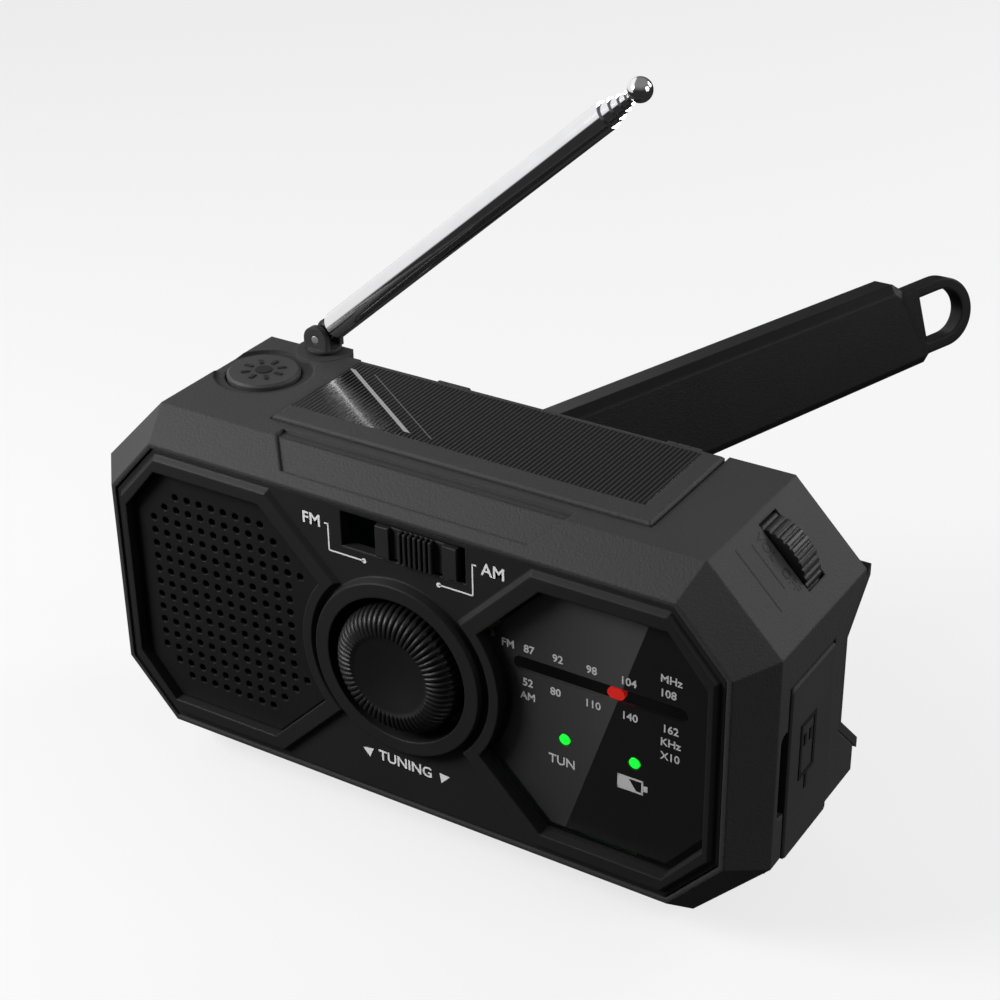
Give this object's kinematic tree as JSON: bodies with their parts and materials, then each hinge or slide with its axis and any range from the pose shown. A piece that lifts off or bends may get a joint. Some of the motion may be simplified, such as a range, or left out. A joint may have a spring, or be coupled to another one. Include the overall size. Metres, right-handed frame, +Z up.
{
  "type": "emergency radio",
  "caption": "Hand-cranked emergency radio with tuning dial, speaker grille, solar lid, folding crank handle, telescopic antenna, torch and charging sockets",
  "frame": {"origin": "centre of the case's flat underside, above the feet; feet reach 3.5 mm lower", "axes": "X to the right along the front as seen from it, Y from the front panel to the back, Z up"},
  "size_m": [0.1605, 0.1834, 0.1585],
  "materials": {
    "case_black": "fine moulded texture",
    "knob_black": "satin",
    "window_clear": "polished",
    "dial_print": "printed",
    "acetal_white": "moulded",
    "pointer_red": "moulded",
    "led_green": "clear tinted",
    "steel": "plain",
    "board_green": "solder mask",
    "component_grey": "moulded",
    "chip_black": "epoxy",
    "can_blue": "sleeve",
    "ferrite": "sintered",
    "copper": "enamelled wire",
    "cone_paper": "pressed paper",
    "chrome": "plated",
    "solar": "resin over silicon",
    "rubber_black": "moulded",
    "mirror_plate": "metallised",
    "board_aluminium": "plain",
    "battery_sleeve": "shrink sleeve"
  },
  "bodies": {
    "case": {"aerial_coil": "copper", "audio_chips": "chip_black", "band_switch": "component_grey", "battery_pack": "battery_sleeve", "button_switch": "component_grey", "case_front": "case_black", "case_screws": "steel", "dial_scale": "dial_print", "dial_window": "window_clear", "ferrite_rod": "ferrite", "front_panel": "case_black", "gear_bracket": "steel", "generator": "steel", "hinge_pins": "steel", "indicator_leds": "led_green", "main_board": "board_green", "rear_cover": "case_black", "rubber_feet": "rubber_black", "smoothing_capacitors": "can_blue", "speaker_basket": "steel", "speaker_cone": "cone_paper", "speaker_grille": "case_black", "speaker_magnet": "ferrite", "torch_board": "board_aluminium", "torch_lens": "window_clear", "torch_reflector": "mirror_plate", "tuning_capacitor": "component_grey", "usb_board": "board_green", "usb_sockets": "steel", "volume_pot": "component_grey"},
    "knob": {"tuning_knob": "knob_black", "tuning_shaft": "steel", "tuning_pinion": "acetal_white"},
    "pointer": {"dial_rack": "acetal_white", "dial_pointer": "pointer_red"},
    "slider": {"band_slider": "knob_black"},
    "volume": {"volume_wheel": "knob_black"},
    "button": {"lamp_button": "knob_black"},
    "lid": {"lid_frame": "case_black", "solar_cell": "solar", "lamp_strip": "board_green", "lamp_lens": "window_clear"},
    "turret": {"antenna_post": "case_black", "antenna_pin": "steel"},
    "mast": {"antenna_base": "chrome"},
    "stage_one": {"antenna_stage_1": "chrome"},
    "stage_two": {"antenna_stage_2": "chrome"},
    "stage_three": {"antenna_stage_3": "chrome"},
    "stage_four": {"antenna_stage_4": "chrome", "antenna_tip": "chrome"},
    "hub": {"crank_hub": "case_black", "crank_pin": "steel", "crank_gear": "acetal_white"},
    "handle": {"crank_arm": "knob_black"},
    "idler": {"idler_gear": "acetal_white"},
    "rotor": {"generator_rotor": "acetal_white"},
    "socket_flap": {"usb_cover": "rubber_black"},
    "bay_door": {"battery_door": "case_black"}
  },
  "joints": [
    {"name": "tuning_turn", "type": "hinge", "parent": "case", "child": "knob", "pos_m": [0, -0.02425, 0.0405], "axis": [0, 1, 0], "range_deg": [-140, 90]},
    {"name": "pointer_slide", "type": "slide", "parent": "case", "child": "pointer", "axis": [1, 0, 0], "range_m": [-0.0206, 0.0133]},
    {"name": "band_slide", "type": "slide", "parent": "case", "child": "slider", "axis": [1, 0, 0], "range_m": [-0.006, 0]},
    {"name": "volume_turn", "type": "hinge", "parent": "case", "child": "volume", "pos_m": [0.06467, 0.00575, 0.06801], "axis": [0, 1, 0], "range_deg": [0, 270]},
    {"name": "button_press", "type": "slide", "parent": "case", "child": "button", "axis": [0, 0, -1], "range_m": [0, 0.001], "stiffness_N_per_m": 250},
    {"name": "lid_open", "type": "hinge", "parent": "case", "child": "lid", "pos_m": [0.005, 0.02115, 0.0794], "axis": [-1, 0, 0], "range_deg": [0, 55]},
    {"name": "antenna_swivel", "type": "hinge", "parent": "case", "child": "turret", "pos_m": [-0.0497, 0.02175, 0.0845], "axis": [0, 0, 1], "range_deg": [-170, 170]},
    {"name": "antenna_tilt", "type": "hinge", "parent": "turret", "child": "mast", "pos_m": [-0.0497, 0.02175, 0.0845], "axis": [0, -1, 0], "range_deg": [-41, 48]},
    {"name": "antenna_pull_1", "type": "slide", "parent": "mast", "child": "stage_one", "axis": [0.7513, 0, 0.66], "range_m": [0, 0.07]},
    {"name": "antenna_pull_2", "type": "slide", "parent": "stage_one", "child": "stage_two", "axis": [0.7513, 0, 0.66], "range_m": [0, 0.07]},
    {"name": "antenna_pull_3", "type": "slide", "parent": "stage_two", "child": "stage_three", "axis": [0.7513, 0, 0.66], "range_m": [0, 0.07]},
    {"name": "antenna_pull_4", "type": "slide", "parent": "stage_three", "child": "stage_four", "axis": [0.7513, 0, 0.66], "range_m": [0, 0.07]},
    {"name": "crank_spin", "type": "hinge", "parent": "case", "child": "hub", "pos_m": [-0.0395, 0.02425, 0.0422], "axis": [0, 1, 0], "continuous": true},
    {"name": "idler_turn", "type": "hinge", "parent": "case", "child": "idler", "pos_m": [-0.0147, 0.01, 0.0422], "axis": [0, 1, 0], "continuous": true},
    {"name": "rotor_turn", "type": "hinge", "parent": "case", "child": "rotor", "pos_m": [0.0069, 0.008, 0.0422], "axis": [0, 1, 0], "continuous": true},
    {"name": "crank_fold", "type": "hinge", "parent": "hub", "child": "handle", "pos_m": [-0.01825, 0.03075, 0.04789], "axis": [-0.2588, 0, 0.9659], "range_deg": [-60, 119]},
    {"name": "socket_flap_open", "type": "hinge", "parent": "case", "child": "socket_flap", "pos_m": [0.0805, 0.00775, 0.0355], "axis": [0, 0, 1], "range_deg": [0, 110]},
    {"name": "bay_door_open", "type": "hinge", "parent": "case", "child": "bay_door", "pos_m": [0.027, -0.01505, 0.0007], "axis": [-1, 0, 0], "range_deg": [0, 95]}
  ],
  "couplings": [
    {"joint": "pointer_slide", "follows": "tuning_turn", "m_per_rad": 0.0084},
    {"joint": "idler_turn", "follows": "crank_spin", "ratio": -3.4286},
    {"joint": "rotor_turn", "follows": "crank_spin", "ratio": 12}
  ]
}
